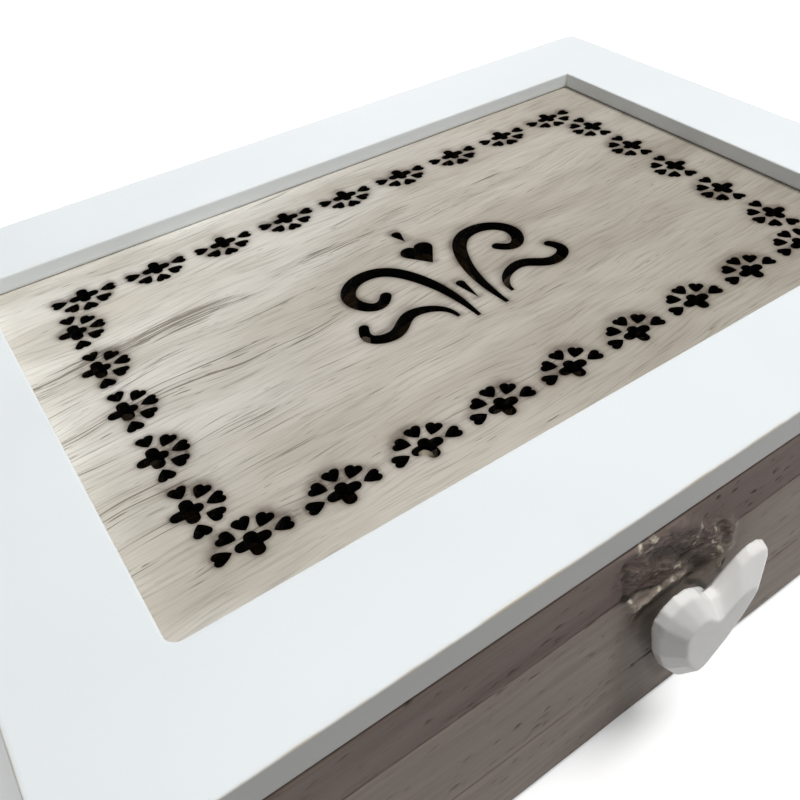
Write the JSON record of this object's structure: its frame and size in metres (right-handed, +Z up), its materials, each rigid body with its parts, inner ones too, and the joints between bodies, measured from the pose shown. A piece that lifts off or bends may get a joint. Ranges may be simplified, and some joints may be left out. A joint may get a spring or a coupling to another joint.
{
  "type": "tea bag drawer box",
  "caption": "Low white wooden chest with one full-width rustic drawer, a heart knob and a fretwork panel set in its top; the drawer is divided for tea bags.",
  "frame": {"origin": "on the table under the middle of the whole footprint, knob included", "axes": "+Z up, +X to the right seen from the front; the drawer pulls out towards -Y"},
  "size_m": [0.242, 0.1794, 0.087],
  "materials": {
    "white_paint": "fibreboard with satin white paint",
    "panel_veneer": "grey-washed open-grained veneer, matt",
    "rustic_wood": "grey-brown stained rustic softwood, matt",
    "drawer_wood": "grey-washed plywood, matt",
    "white_glaze": "white glazed stoneware, glossy",
    "brass": "plain turned",
    "steel": "zinc plated",
    "felt": "grey pressed felt"
  },
  "bodies": {
    "carcass": {"top_frame": "white_paint", "fret_panel": "panel_veneer", "left_side": "white_paint", "right_side": "white_paint", "back_panel": "white_paint", "base_panel": "white_paint", "foot_pad_1": "felt", "foot_pad_2": "felt", "foot_pad_3": "felt", "foot_pad_4": "felt", "top_brads": "steel", "base_brads": "steel", "back_brads": "steel"},
    "drawer": {"drawer_front": "rustic_wood", "drawer_inner_front": "drawer_wood", "drawer_back": "drawer_wood", "drawer_left_side": "drawer_wood", "drawer_right_side": "drawer_wood", "drawer_bottom": "drawer_wood", "long_divider": "drawer_wood", "cross_divider_1": "drawer_wood", "cross_divider_2": "drawer_wood", "drawer_brads": "steel", "front_brads": "steel", "knob_heart": "white_glaze", "knob_insert": "brass", "knob_washer": "steel", "knob_screw": "steel"}
  },
  "joints": [
    {"name": "drawer_slide", "type": "slide", "parent": "carcass", "child": "drawer", "axis": [0, -1, 0], "range_m": [0, 0.15]}
  ]
}
